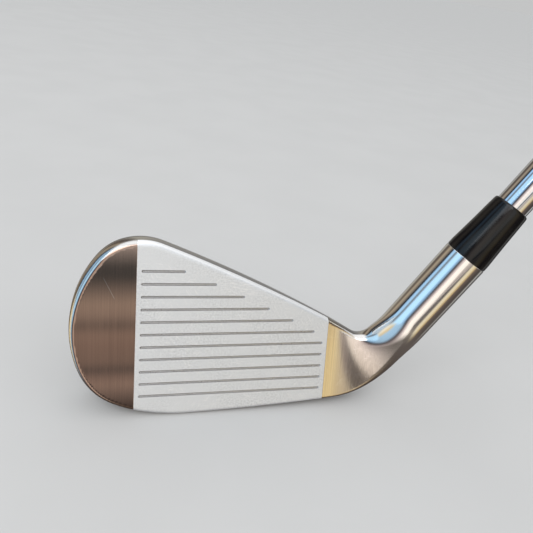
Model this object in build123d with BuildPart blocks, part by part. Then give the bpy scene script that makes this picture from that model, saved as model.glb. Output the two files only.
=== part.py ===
"""A long iron golf club at address: forged cavity-back head, ferrule, stepped steel shaft and rubber grip.

Frame: +Z up, +X from toe to heel, +Y away from the target, so the face looks towards -Y.
The origin is where the sole touches the ground, below the middle of the scorelines.
Every length is in millimetres and every angle in degrees.
"""

from build123d import *
from math import cos, radians, sin
import os

# --- driving dimensions ---------------------------------------------------------------------

LOFT = 18.0                # the face leans back from upright
LIE = 60.5                 # the shaft stands up from the ground
CLUB_LENGTH = 989.6        # along the shaft, from the ground to the top of the grip cap

FACE_SETBACK = -7.3        # Y where the face plane meets the ground
SHAFT_SETBACK = -4.0       # Y of the shaft axis, which stays in the XZ direction
SHAFT_GROUND_X = 34.6      # X where the shaft axis meets the ground

BLADE_DEPTH = 22.0         # deeper than the sole is wide, so that the back profile trims it
FACE_EDGE_RADIUS = 1.4     # rounding round the face
SOLE_RADIUS = 52.0         # camber of the sole from leading to trailing edge
SOLE_FRONT = -9.0          # Y of the front and back ends of the sole's arc
SOLE_BACK = 9.6
BACK_PROFILE = [(7.6, 14.4), (13.0, 12.6), (21.0, 8.4), (60.0, 6.6)]   # up the face, depth behind it
BACK_RADIUS = 1.5          # rounding of the bends of the back

SCORE_COUNT = 11           # scorelines, the deepest cut allowed by the rules of golf
SCORE_PITCH = 3.6
SCORE_LOWEST = 6.7         # height of the lowest one up the face
SCORE_TOE_END = -27.2
SCORE_LENGTHS = [54.4, 54.4, 54.4, 54.4, 54.4, 51.5, 44.5, 36.9, 29.2, 20.9, 12.0]   # lowest first
SCORE_WIDTH = 0.8
SCORE_DEPTH = 0.4

CAVITY_FLOOR = 3.6         # metal left between the face and the cavity
CAVITY_CORNERS = [(17.5, 26.6), (-20.5, 43.8), (-30.5, 44.4), (-37.4, 36.6), (-39.0, 27.0),
                  (-37.0, 17.6), (17.5, 17.6)]
CAVITY_RADIUS = 3.4
BADGE_GAP = 0.8            # clearance round the badge in the cavity
BADGE_THICKNESS = 1.4
BADGE_BORDER = 2.4         # raised border of the badge
BADGE_RELIEF = 0.5         # depth of its sunk middle
ADHESIVE_THICKNESS = 0.25

HOSEL_RADIUS = 6.55
HOSEL_TOP = 60.0           # heights along the shaft axis, from the ground, from here on
NECK_TOP = 32.0            # where the neck becomes the round hosel
BORE_RADIUS = 4.8
BORE_BOTTOM = 28.0

SHAFT_TIP_RADIUS = 4.7
SHAFT_BUTT_RADIUS = 7.62
TIP_WALL = 0.65
BUTT_WALL = 0.38
SHAFT_BOTTOM = 29.4
SHAFT_TOP = 985.0
STEP_COUNT = 12
FIRST_STEP = 260.0
STEP_PITCH = 34.9
STEP_CONE = 1.6            # length of the cone between two diameters

EPOXY_FLOOR = 0.4          # adhesive below the tip weight
TIP_FLANGE = 1.0           # the weight's flange, which the shaft's end stands on
TIP_FLANGE_RADIUS = 4.6
TIP_WEIGHT_RADIUS = 3.9
TIP_WEIGHT_LENGTH = 20.0
PLUG_BOTTOM = 62.0
PLUG_LENGTH = 9.0

FERRULE_BORE = 4.75
FERRULE_PROFILE = [(6.5, 60.0), (6.47, 62.0), (6.2, 65.5), (5.88, 70.0), (5.62, 74.5), (5.4, 77.9), (5.1, 78.7)]

BAND_BOTTOM = 655.0        # plain label sleeve on the shaft
BAND_LENGTH = 46.0
BAND_THICKNESS = 0.1

GRIP_BOTTOM = 723.0
GRIP_LENGTH = 260.0
GRIP_PROFILE = [(9.3, 0.8), (9.35, 4.5), (8.9, 7.0), (9.2, 50.0), (9.9, 120.0), (10.9, 190.0),
                (12.3, 240.0), (13.3, 255.0), (14.4, GRIP_LENGTH)]     # radius, height above the grip's mouth
GRIP_MOUTH_RADIUS = 8.5
TAPE_BOTTOM = 730.0
TAPE_THICKNESS = 0.25
CAP_PROFILE = [(14.4, 0.0), (15.0, 2.0), (14.6, 5.2), (13.2, 6.6)]     # radius, height above the grip
VENT_RADIUS = 1.9          # hole through the cap, which lets the air out when the grip is fitted

# --- head outline, in the plane of the face ---------------------------------------------------
# x runs from toe to heel and y up the face from the ground.

TOPLINE_HEEL = Vector(33.0, 27.1)
TOPLINE_TOE = Vector(-21.2, 51.4)
TOE_SHOULDER = Vector(-38.2, 48.1)
TOE_TIP = Vector(-45.8, 28.0)
TOE_BELOW = Vector(-39.8, 9.4)
SOLE_TOE = Vector(-28.0, 3.0)
SOLE_MIDDLE = Vector(0.0, 1.3)
SOLE_HEEL = Vector(33.0, 4.1)

# --- neck, as sections that turn about a line inside the bend -----------------------------------
# Each section gives X of its plane, the plane's turn, its corner radius and its corners, which are
# pairs of Y and distance from the bend line. The last section is the round hosel.

BEND_X = 39.5
BEND_Z = 29.8
NECK_SECTIONS = [
    (31.0, 0.0, 1.4, [(1.2, -3.9), (-6.0, -25.8), (9.2, -28.4), (8.0, -5.8)]),
    (BEND_X, 0.0, 2.5, [(0.4, -5.4), (-6.2, -24.0), (6.6, -25.2), (6.8, -6.0)]),
    (BEND_X, 18.0, 3.6, [(-2.6, -4.8), (-8.0, -21.9), (4.8, -22.3), (5.6, -5.2)]),
    (BEND_X, 38.0, 5.2, [(-6.6, -4.2), (-10.0, -19.2), (3.4, -19.4), (3.9, -4.4)]),
]
HOSEL_FLAT = 0.05          # half-width of the flats between the hosel's four arcs

# --- frame of the face and frame of the shaft ---------------------------------------------------

SIN_LOFT = sin(radians(LOFT))
COS_LOFT = cos(radians(LOFT))
SIN_LIE = sin(radians(LIE))
COS_LIE = cos(radians(LIE))

face_plane = Plane(origin=(0, FACE_SETBACK, 0), x_dir=(1, 0, 0), z_dir=(0, -COS_LOFT, SIN_LOFT))
face_normal = Axis(face_plane.origin, face_plane.z_dir)

# In this plane x is the radius from the shaft axis and y the height along it.
axial_plane = Plane(origin=(SHAFT_GROUND_X, SHAFT_SETBACK, 0), x_dir=(0, 1, 0), z_dir=(SIN_LIE, 0, -COS_LIE))
shaft_axis = Axis(axial_plane.origin, (COS_LIE, 0, SIN_LIE))


def cross_plane(height):
    """The plane square to the shaft at a height along it."""
    centre = axial_plane.from_local_coords(Vector(0, height, 0))
    return Plane(origin=centre, x_dir=(0, 1, 0), z_dir=shaft_axis.direction)


def bend_plane(x, turn):
    """The plane of one neck section, turned about the bend line."""
    return Plane(origin=(x, 0, BEND_Z), x_dir=(0, 1, 0), z_dir=(cos(radians(turn)), 0, sin(radians(turn))))


def side_point(height, depth):
    """(Y, Z) of the point that is this far up the face and this deep behind it."""
    y = FACE_SETBACK + height * SIN_LOFT + depth * COS_LOFT
    return (y, height * COS_LOFT - depth * SIN_LOFT)


def sole_point(y):
    """(Y, Z) of the sole's camber at y."""
    return (y, SOLE_RADIUS - (SOLE_RADIUS**2 - y**2) ** 0.5)


def hosel_section():
    """The hosel's section, in the sketch that is open."""
    Rectangle(2 * HOSEL_RADIUS, 2 * HOSEL_RADIUS)
    fillet(vertices(), HOSEL_RADIUS - HOSEL_FLAT)


def section(points):
    """A flat sketch with these corners."""
    with BuildSketch() as sketch:
        with BuildLine():
            Polyline(*points, close=True)
        make_face()
    return sketch.sketch


def cavity_section(inset):
    """The cavity's section, drawn in by the inset, in the sketch that is open."""
    add(section(CAVITY_CORNERS))
    fillet(vertices(), CAVITY_RADIUS)
    if inset > 0:
        offset(amount=-inset, mode=Mode.REPLACE)


def save(part, name):
    """Label the part and write it as parts/name.step."""
    part.label = name
    export_step(part, f"parts/{name}.step")


os.makedirs("parts", exist_ok=True)

# --- head: one forging with the blade, the neck and the hosel -----------------------------------

with BuildPart() as blade:
    with BuildSketch(face_plane):
        with BuildLine():
            topline = Line(TOPLINE_HEEL, TOPLINE_TOE)
            crown = TangentArc(TOPLINE_TOE, TOE_SHOULDER, tangent=topline % 1)
            toe = TangentArc(TOE_SHOULDER, TOE_TIP, tangent=crown % 1)
            below = TangentArc(TOE_TIP, TOE_BELOW, tangent=toe % 1)
            TangentArc(TOE_BELOW, SOLE_TOE, tangent=below % 1)
            ThreePointArc(SOLE_TOE, SOLE_MIDDLE, SOLE_HEEL)
            Line(SOLE_HEEL, TOPLINE_HEEL)
        make_face()
    extrude(amount=-BLADE_DEPTH)
    front = faces().sort_by(face_normal)[-1]
    fillet(front.edges().sort_by(Axis.X)[:-1], FACE_EDGE_RADIUS)
    with BuildSketch(Plane.YZ):
        with BuildLine():
            sole = ThreePointArc(sole_point(SOLE_FRONT), (0, 0), sole_point(SOLE_BACK))
            back = FilletPolyline(sole @ 1, *[side_point(*point) for point in BACK_PROFILE], radius=BACK_RADIUS)
            Polyline(back @ 1, side_point(60, -6), side_point(-4, -6), sole @ 0)
        make_face()
    extrude(amount=60, both=True, mode=Mode.INTERSECT)

with BuildPart() as head:
    for x, turn, corner_radius, corners in NECK_SECTIONS:
        with BuildSketch(bend_plane(x, turn)):
            add(section(corners))
            fillet(vertices(), corner_radius)
    with BuildSketch(cross_plane(NECK_TOP)):
        hosel_section()
    loft()
    with BuildSketch(cross_plane(NECK_TOP)):
        hosel_section()
    extrude(amount=HOSEL_TOP - NECK_TOP)
    add(blade.part)
    with BuildSketch(cross_plane(BORE_BOTTOM)):
        Circle(BORE_RADIUS)
    extrude(amount=HOSEL_TOP - BORE_BOTTOM, mode=Mode.SUBTRACT)
    with BuildSketch(face_plane.offset(-CAVITY_FLOOR)):
        cavity_section(0)
    extrude(amount=-BLADE_DEPTH, mode=Mode.SUBTRACT)
    with BuildSketch(face_plane):
        for index, length in enumerate(SCORE_LENGTHS):
            with Locations((SCORE_TOE_END + length / 2, SCORE_LOWEST + index * SCORE_PITCH)):
                SlotOverall(length, SCORE_WIDTH)
    extrude(amount=-SCORE_DEPTH, mode=Mode.SUBTRACT)
save(head.part, "head")

# --- badge in the cavity, on its adhesive -------------------------------------------------------

with BuildPart() as badge_adhesive:
    with BuildSketch(face_plane.offset(-CAVITY_FLOOR)):
        cavity_section(BADGE_GAP + BADGE_GAP)
    extrude(amount=-ADHESIVE_THICKNESS)
save(badge_adhesive.part, "badge_adhesive")

with BuildPart() as cavity_badge:
    with BuildSketch(face_plane.offset(-CAVITY_FLOOR - ADHESIVE_THICKNESS)):
        cavity_section(BADGE_GAP)
    extrude(amount=-BADGE_THICKNESS)
    with BuildSketch(face_plane.offset(-CAVITY_FLOOR - ADHESIVE_THICKNESS - BADGE_THICKNESS)):
        cavity_section(BADGE_GAP + BADGE_BORDER)
    extrude(amount=BADGE_RELIEF, mode=Mode.SUBTRACT)
save(cavity_badge.part, "cavity_badge")

# --- inside the hosel: adhesive, tip weight and plug --------------------------------------------

with BuildPart() as hosel_epoxy:
    with BuildSketch(axial_plane):
        add(section([(0, BORE_BOTTOM), (BORE_RADIUS, BORE_BOTTOM), (BORE_RADIUS, HOSEL_TOP),
                     (SHAFT_TIP_RADIUS, HOSEL_TOP), (SHAFT_TIP_RADIUS, BORE_BOTTOM + EPOXY_FLOOR),
                     (0, BORE_BOTTOM + EPOXY_FLOOR)]))
    revolve(axis=shaft_axis)
save(hosel_epoxy.part, "hosel_epoxy")

with BuildPart() as tip_weight:
    with BuildSketch(cross_plane(SHAFT_BOTTOM - TIP_FLANGE)):
        Circle(TIP_FLANGE_RADIUS)
    extrude(amount=TIP_FLANGE)
    with BuildSketch(cross_plane(SHAFT_BOTTOM)):
        Circle(TIP_WEIGHT_RADIUS)
    extrude(amount=TIP_WEIGHT_LENGTH)
    chamfer(faces().sort_by(shaft_axis)[-1].edges(), 0.8)
save(tip_weight.part, "tip_weight")

with BuildPart() as tip_plug:
    with BuildSketch(cross_plane(PLUG_BOTTOM)):
        Circle(SHAFT_TIP_RADIUS - TIP_WALL)
    extrude(amount=PLUG_LENGTH)
save(tip_plug.part, "tip_plug")

# --- ferrule ------------------------------------------------------------------------------------

with BuildPart() as ferrule:
    with BuildSketch(axial_plane):
        ferrule_top = FERRULE_PROFILE[-1][1]
        add(section([(FERRULE_BORE, HOSEL_TOP), *FERRULE_PROFILE, (FERRULE_BORE, ferrule_top)]))
    revolve(axis=shaft_axis)
save(ferrule.part, "ferrule")

# --- stepped shaft, a tube whose wall thins towards the butt ------------------------------------

shaft_outside = [(SHAFT_TIP_RADIUS, SHAFT_BOTTOM)]
shaft_inside = [(SHAFT_TIP_RADIUS - TIP_WALL, SHAFT_BOTTOM)]
for step in range(STEP_COUNT):
    cone_bottom = FIRST_STEP + step * STEP_PITCH
    for height, done in ((cone_bottom, step), (cone_bottom + STEP_CONE, step + 1)):
        outer_radius = SHAFT_TIP_RADIUS + (SHAFT_BUTT_RADIUS - SHAFT_TIP_RADIUS) * done / STEP_COUNT
        wall = TIP_WALL + (BUTT_WALL - TIP_WALL) * done / STEP_COUNT
        shaft_outside.append((outer_radius, height))
        shaft_inside.append((outer_radius - wall, height))
shaft_outside.append((SHAFT_BUTT_RADIUS, SHAFT_TOP))
shaft_inside.append((SHAFT_BUTT_RADIUS - BUTT_WALL, SHAFT_TOP))

with BuildPart() as shaft:
    with BuildSketch(axial_plane):
        add(section(shaft_outside + shaft_inside[::-1]))
    revolve(axis=shaft_axis)
save(shaft.part, "shaft")

with BuildPart() as shaft_band:
    with BuildSketch(cross_plane(BAND_BOTTOM)):
        Circle(SHAFT_BUTT_RADIUS + BAND_THICKNESS)
        Circle(SHAFT_BUTT_RADIUS, mode=Mode.SUBTRACT)
    extrude(amount=BAND_LENGTH)
save(shaft_band.part, "shaft_band")

# --- grip: tape on the shaft, the rubber sleeve and its end cap ---------------------------------

TAPE_RADIUS = SHAFT_BUTT_RADIUS + TAPE_THICKNESS
GRIP_TOP = GRIP_BOTTOM + GRIP_LENGTH

with BuildPart() as grip_tape:
    with BuildSketch(cross_plane(TAPE_BOTTOM)):
        Circle(TAPE_RADIUS)
        Circle(SHAFT_BUTT_RADIUS, mode=Mode.SUBTRACT)
    extrude(amount=SHAFT_TOP - TAPE_BOTTOM)
save(grip_tape.part, "grip_tape")

with BuildPart() as grip:
    with BuildSketch(axial_plane):
        outside = [(radius, GRIP_BOTTOM + height) for radius, height in GRIP_PROFILE]
        add(section([(SHAFT_BUTT_RADIUS, GRIP_BOTTOM), (GRIP_MOUTH_RADIUS, GRIP_BOTTOM), *outside,
                     (TAPE_RADIUS, GRIP_TOP), (TAPE_RADIUS, TAPE_BOTTOM), (SHAFT_BUTT_RADIUS, TAPE_BOTTOM)]))
    revolve(axis=shaft_axis)
save(grip.part, "grip")

with BuildPart() as grip_cap:
    with BuildSketch(axial_plane):
        outside = [(radius, GRIP_TOP + height) for radius, height in CAP_PROFILE]
        add(section([(TAPE_RADIUS, GRIP_TOP), *outside, (VENT_RADIUS, CLUB_LENGTH),
                     (VENT_RADIUS, SHAFT_TOP), (TAPE_RADIUS, SHAFT_TOP)]))
    revolve(axis=shaft_axis)
save(grip_cap.part, "grip_cap")
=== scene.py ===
"""A long iron golf club in a plain studio: the CAD frame's pieces with their finished shapes and materials.

The head is worked in its own coordinates, in millimetres: x from toe to heel, v up the face from the
ground, n out of the face. Heights along the shaft axis are measured from the ground, as in the CAD model.
"""

import math

import bmesh
import bpy
import numpy as np
from mathutils import Matrix, Vector
from mathutils.geometry import delaunay_2d_cdt


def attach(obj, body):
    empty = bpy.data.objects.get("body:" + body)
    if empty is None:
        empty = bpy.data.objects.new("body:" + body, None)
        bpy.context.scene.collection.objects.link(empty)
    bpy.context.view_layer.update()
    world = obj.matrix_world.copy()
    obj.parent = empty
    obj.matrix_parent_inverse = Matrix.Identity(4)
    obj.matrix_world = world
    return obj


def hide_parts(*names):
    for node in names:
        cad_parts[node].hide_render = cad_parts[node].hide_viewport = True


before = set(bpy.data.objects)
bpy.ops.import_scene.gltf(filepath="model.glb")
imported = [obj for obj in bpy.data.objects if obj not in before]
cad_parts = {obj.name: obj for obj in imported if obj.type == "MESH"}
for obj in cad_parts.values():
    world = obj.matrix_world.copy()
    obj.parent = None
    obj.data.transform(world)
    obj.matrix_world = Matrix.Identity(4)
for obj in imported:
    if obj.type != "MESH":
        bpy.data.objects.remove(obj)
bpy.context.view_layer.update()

# --- driving dimensions, the CAD model's own, in millimetres and degrees ---

MM = 0.001
LOFT = math.radians(18.0)
LIE = math.radians(60.5)
FACE_SETBACK = -7.3
SHAFT_SETBACK = -4.0
SHAFT_GROUND_X = 34.6
HOSEL_RADIUS = 6.55
HOSEL_TOP = 60.0
BORE_RADIUS = 4.8
BORE_BOTTOM = 28.0
SHAFT_TIP_RADIUS = 4.7
SHAFT_BUTT_RADIUS = 7.62
SHAFT_BOTTOM = 29.4
SHAFT_TOP = 985.0

SIN_LOFT = math.sin(LOFT)
COS_LOFT = math.cos(LOFT)
TAN_LOFT = math.tan(LOFT)
FACE_FOOT = np.array([0.0, FACE_SETBACK, 0.0])
SHAFT_FOOT = np.array([SHAFT_GROUND_X, SHAFT_SETBACK, 0.0])
SHAFT_UP = np.array([math.cos(LIE), 0.0, math.sin(LIE)])
SHAFT_SIDE = np.array([0.0, 1.0, 0.0])
SHAFT_ACROSS = np.cross(SHAFT_UP, SHAFT_SIDE)


def turn_to_world(vectors):
    """World directions of directions given along x, v, n."""
    x, v, n = vectors.T
    return np.column_stack((x, v * SIN_LOFT - n * COS_LOFT, v * COS_LOFT + n * SIN_LOFT))


def turn_to_face(vectors):
    """Directions along x, v, n of world directions."""
    x, y, z = vectors.T
    return np.column_stack((x, y * SIN_LOFT + z * COS_LOFT, z * SIN_LOFT - y * COS_LOFT))


def face_to_world(points):
    """World millimetres of points given as x, v, n."""
    return turn_to_world(points) + FACE_FOOT


def world_to_face(points):
    """x, v, n of points given in world millimetres."""
    return turn_to_face(points - FACE_FOOT)


def mix(a, b, share):
    """a where the share is 0, b where it is 1."""
    return a + (b - a) * share


def smooth(low, high, value):
    """0 below low, 1 above high and an even S between them; low may be the larger."""
    share = np.clip((value - low) / (high - low), 0.0, 1.0)
    return share * share * (3.0 - 2.0 * share)


def smoother(low, high, value):
    """The same with a softer start and end."""
    share = np.clip((value - low) / (high - low), 0.0, 1.0)
    return share**3 * (6.0 * share * share - 15.0 * share + 10.0)


def round_max(a, b, radius):
    """Larger of two distances, with the edge between their surfaces rounded."""
    inner = np.minimum(np.maximum(a, b), -radius)
    return inner + np.hypot(np.maximum(a + radius, 0.0), np.maximum(b + radius, 0.0))


# --- outline of the head: straight lines and arcs, each running on from the last ---

TOPLINE_HEEL = (34.1, 26.05)
TOPLINE_SLOPE = -0.535      # at its heel end
TOE_AND_SOLE = [(-21.2, 50.6), (-31.3, 51.1), (-38.8, 46.3), (-45.8, 28.0), (-44.4, 17.3), (-34.9, 6.1),
                (-26.4, 3.05), (-13.0, 1.7), (33.0, 4.1)]
CROTCH_RADIUS = 3.4
HOSEL_REACH = 90.0          # the outline's hosel runs on past its top, where the mesh is cut
FAR = 1e9                   # further than any distance on the head

AXIS_FOOT = world_to_face(SHAFT_FOOT[None, :])[0]
AXIS_UP = turn_to_face(SHAFT_UP[None, :])[0]
AXIS_TILT = math.hypot(AXIS_UP[0], AXIS_UP[1])
AXIS_2D = AXIS_UP[:2] / AXIS_TILT
AXIS_HEADING = math.atan2(AXIS_2D[1], AXIS_2D[0])


def line_piece(start, end):
    """The straight line between two points."""
    start, end = np.array(start, float), np.array(end, float)
    length = np.hypot(*(end - start))
    return {"start": start, "along": (end - start) / length, "length": length}


def arc_piece(start, heading, end):
    """The arc that leaves start in this heading and reaches end, and its heading there."""
    start, end = np.array(start, float), np.array(end, float)
    chord = end - start
    half_turn = (math.atan2(chord[1], chord[0]) - heading + math.pi) % (2.0 * math.pi) - math.pi
    radius = np.hypot(*chord) / (2.0 * math.sin(half_turn))
    centre = start + radius * np.array([-math.sin(heading), math.cos(heading)])
    middle = heading + half_turn - math.copysign(math.pi / 2.0, radius)
    piece = {"centre": centre, "radius": radius, "half": abs(half_turn),
             "middle": np.array([math.cos(middle), math.sin(middle)])}
    return piece, heading + 2.0 * half_turn


def meet(point, heading, line_point, line_along):
    """How far along its own direction a line is met from point in this heading."""
    ahead = np.array([math.cos(heading), math.sin(heading)])
    gap = np.array(line_point) - np.array(point)
    return (gap[0] * ahead[1] - gap[1] * ahead[0]) / (ahead[0] * line_along[1] - ahead[1] * line_along[0])


def make_outline():
    """The head seen square to the face, anticlockwise from the hosel's crotch."""
    sideways = HOSEL_RADIUS * np.array([-AXIS_2D[1], AXIS_2D[0]])
    left = AXIS_FOOT[:2] + sideways
    right = AXIS_FOOT[:2] - sideways
    topline = math.atan2(TOPLINE_SLOPE, 1.0)
    corner = left + AXIS_2D * meet(TOPLINE_HEEL, topline, left, AXIS_2D)
    reach = CROTCH_RADIUS * math.tan((AXIS_HEADING - topline) / 2.0)
    crotch_start = corner + reach * AXIS_2D
    crotch_end = corner - reach * np.array([math.cos(topline), math.sin(topline)])
    pieces = [line_piece(left + HOSEL_REACH * AXIS_2D, crotch_start)]
    crotch, heading = arc_piece(crotch_start, AXIS_HEADING - math.pi, crotch_end)
    pieces.append(crotch)
    point = crotch_end
    for next_point in TOE_AND_SOLE:
        piece, heading = arc_piece(point, heading, next_point)
        pieces.append(piece)
        point = next_point
    chord = (heading % (2.0 * math.pi) + AXIS_HEADING) / 2.0
    heel_end = right + AXIS_2D * meet(point, chord, right, AXIS_2D)
    heel, heading = arc_piece(point, heading, heel_end)
    pieces.append(heel)
    pieces.append(line_piece(heel_end, right + HOSEL_REACH * AXIS_2D))
    return pieces


OUTLINE = make_outline()


def outline_distance(x, v):
    """Distance from the outline, negative inside it."""
    nearest = np.full(np.shape(x), FAR)
    signed = np.zeros(np.shape(x))
    for piece in OUTLINE:
        if "along" in piece:
            across_x, across_v = x - piece["start"][0], v - piece["start"][1]
            along = across_x * piece["along"][0] + across_v * piece["along"][1]
            side = across_x * piece["along"][1] - across_v * piece["along"][0]
            beyond = along - np.clip(along, 0.0, piece["length"])
            distance = np.hypot(side, beyond)
        else:
            from_x, from_v = x - piece["centre"][0], v - piece["centre"][1]
            out = np.hypot(from_x, from_v)
            side = (out - abs(piece["radius"])) * np.sign(piece["radius"])
            facing = from_x * piece["middle"][0] + from_v * piece["middle"][1]
            within = facing >= out * math.cos(piece["half"])
            distance = np.where(within, np.abs(side), FAR)
        closer = distance < nearest
        nearest = np.where(closer, distance, nearest)
        signed = np.where(closer, np.where(side < 0.0, -distance, distance), signed)
    return signed


# --- body of the head as a field, negative inside the metal ---

SOLE_RADIUS = 80.0          # camber of the sole from front to back
SOLE_LOWEST = 1.55          # height of the outline's lowest point, which the camber brings to the ground
SOLE_FADE = (22.0, 4.0)     # heights on the face over which the sole's own shape comes in
TOP_THICKNESS = 6.5
SOLE_BULGE = 9.5            # extra depth of the head at the sole
BULGE_FADE = (24.0, 4.0)    # heights over which it comes in
LEADING_RADIUS = 1.2
TOPLINE_RADIUS = 2.2        # rounding of the topline, measured up the face
TOPLINE_STRETCH = 0.62      # its height over its depth
TOPLINE_FADE = (16.0, 44.0)
BACK_RADIUS = 1.3
TRAILING_RADIUS = 2.6
TURN_CENTRE = (32.5, 46.0)  # about this point, the blade's plane gives way to the round hosel
TURN = (math.radians(-6.5), math.radians(50.0))          # its front over these angles
BACK_TURN = (math.radians(-9.0), math.radians(40.0))     # its back sooner
ROUND_TURN = (math.radians(-10.0), math.radians(30.0))   # and its edges round off sooner still
NECK_DEPTH = (6.8, 11.8)    # thickness of the neck at its top and at its foot
NECK_HEIGHT = (24.0, 6.0)   # where these are
NECK_FADE = (16.0, 36.0)    # x over which the blade's thickness becomes the neck's
CAVITY_CORNERS = [(17.5, 26.6), (-20.5, 43.8), (-30.5, 44.4), (-37.4, 36.6), (-39.0, 27.0), (-37.0, 17.6),
                  (17.5, 17.6)]
CAVITY_ROUND = 3.4          # radius of its corners
CAVITY_FLOOR = 3.6          # metal between it and the face
CAVITY_DRAFT = 0.12         # slope of its walls
CAVITY_FILLET = 0.6
CAVITY_RIM = 0.9            # rounding of its outer edge


def draw_in(corners, distance):
    """The polygon whose sides lie this far inside the given one's, which runs anticlockwise."""
    lines = []
    for start, end in zip(corners, corners[1:] + corners[:1]):
        side = line_piece(start, end)
        inward = np.array([-side["along"][1], side["along"][0]])
        lines.append((side["start"] + distance * inward, side["along"]))
    moved = []
    for (point, along), (next_point, next_along) in zip(lines[-1:] + lines[:-1], lines):
        reach = meet(point, math.atan2(along[1], along[0]), next_point, next_along)
        moved.append(tuple(next_point + reach * next_along))
    return moved


CAVITY = draw_in(CAVITY_CORNERS, CAVITY_ROUND)


def polygon_distance(x, v, corners):
    """Distance from a polygon, negative inside it."""
    nearest = np.full(np.shape(x), FAR)
    inside = np.zeros(np.shape(x), bool)
    for (ax, av), (bx, bv) in zip(corners, corners[1:] + corners[:1]):
        ex, ev = bx - ax, bv - av
        share = np.clip(((x - ax) * ex + (v - av) * ev) / (ex * ex + ev * ev), 0.0, 1.0)
        nearest = np.minimum(nearest, np.hypot(x - ax - share * ex, v - av - share * ev))
        crosses = (av > v) != (bv > v)
        inside ^= crosses & (x < ax + (v - av) * ex / (ev if ev else 1e-9))
    return np.where(inside, -nearest, nearest)


def head_field(x, v, n):
    """Roughly the distance from the head's surface, negative inside the metal."""
    depth = -n
    angle = np.arctan2(x - TURN_CENTRE[0], TURN_CENTRE[1] - v)
    turn = smoother(*TURN, angle)
    back_turn = smooth(*BACK_TURN, angle)
    round_turn = smooth(*ROUND_TURN, angle)
    y = FACE_SETBACK + v * SIN_LOFT + depth * COS_LOFT
    sole = smooth(*SOLE_FADE, v) * (1.0 - turn)
    drop = depth * TAN_LOFT - SOLE_LOWEST + y * y / (2.0 * SOLE_RADIUS * COS_LOFT)
    side = outline_distance(x, v - sole * drop)

    height = ((x - AXIS_FOOT[0]) * AXIS_2D[0] + (v - AXIS_FOOT[1]) * AXIS_2D[1]) / AXIS_TILT
    axis_n = AXIS_FOOT[2] + AXIS_UP[2] * height
    hosel_half = HOSEL_RADIUS / AXIS_TILT
    neck = mix(*NECK_DEPTH, smooth(*NECK_HEIGHT, v))
    blade = TOP_THICKNESS + SOLE_BULGE * smooth(*BULGE_FADE, v)
    thickness = mix(blade, neck, smooth(*NECK_FADE, x))

    top = smooth(*TOPLINE_FADE, v)
    edge_turn = mix(turn, round_turn, top)
    front_radius = mix(mix(LEADING_RADIUS, TOPLINE_RADIUS, top), HOSEL_RADIUS, edge_turn)
    front_scale = mix(mix(1.0, TOPLINE_STRETCH, top), AXIS_TILT, edge_turn)
    front = mix(0.0, axis_n + hosel_half, turn)
    front_part = round_max(side, front_scale * (n - front), front_radius)

    back_radius = mix(mix(BACK_RADIUS, TRAILING_RADIUS, sole), HOSEL_RADIUS, back_turn)
    back_scale = mix(1.0, AXIS_TILT, back_turn)
    back = mix(-thickness, axis_n - hosel_half, back_turn)
    back_part = round_max(side, back_scale * (back - n), back_radius)
    body = np.maximum(front_part, back_part)

    wall = polygon_distance(x, v, CAVITY) - CAVITY_ROUND - CAVITY_DRAFT * (depth - CAVITY_FLOOR)
    pocket = round_max(wall, CAVITY_FLOOR - depth, CAVITY_FILLET)
    return round_max(body, -pocket, CAVITY_RIM)


def field_at(points):
    """The field at points given as x, v, n."""
    return head_field(*points.T)


def field_gradient(points, step=0.02):
    """Direction in which the field grows fastest, by differences."""
    grown = []
    for axis in np.eye(3) * step:
        grown.append((field_at(points + axis) - field_at(points - axis)) / (2.0 * step))
    return np.column_stack(grown)


# --- polygons of the head: one vertex in each grid cell that the surface crosses ---

GRID_LOW = (-48.0, -1.5, -18.0)
GRID_HIGH = (72.0, 57.0, 21.0)
GRID_STEP = 0.5
SLAB = 24                   # grid rows worked out at a time
SETTLE_STEPS = 4
LEAST_SLOPE = 0.05          # keeps the steps small where the field is nearly flat


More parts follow.
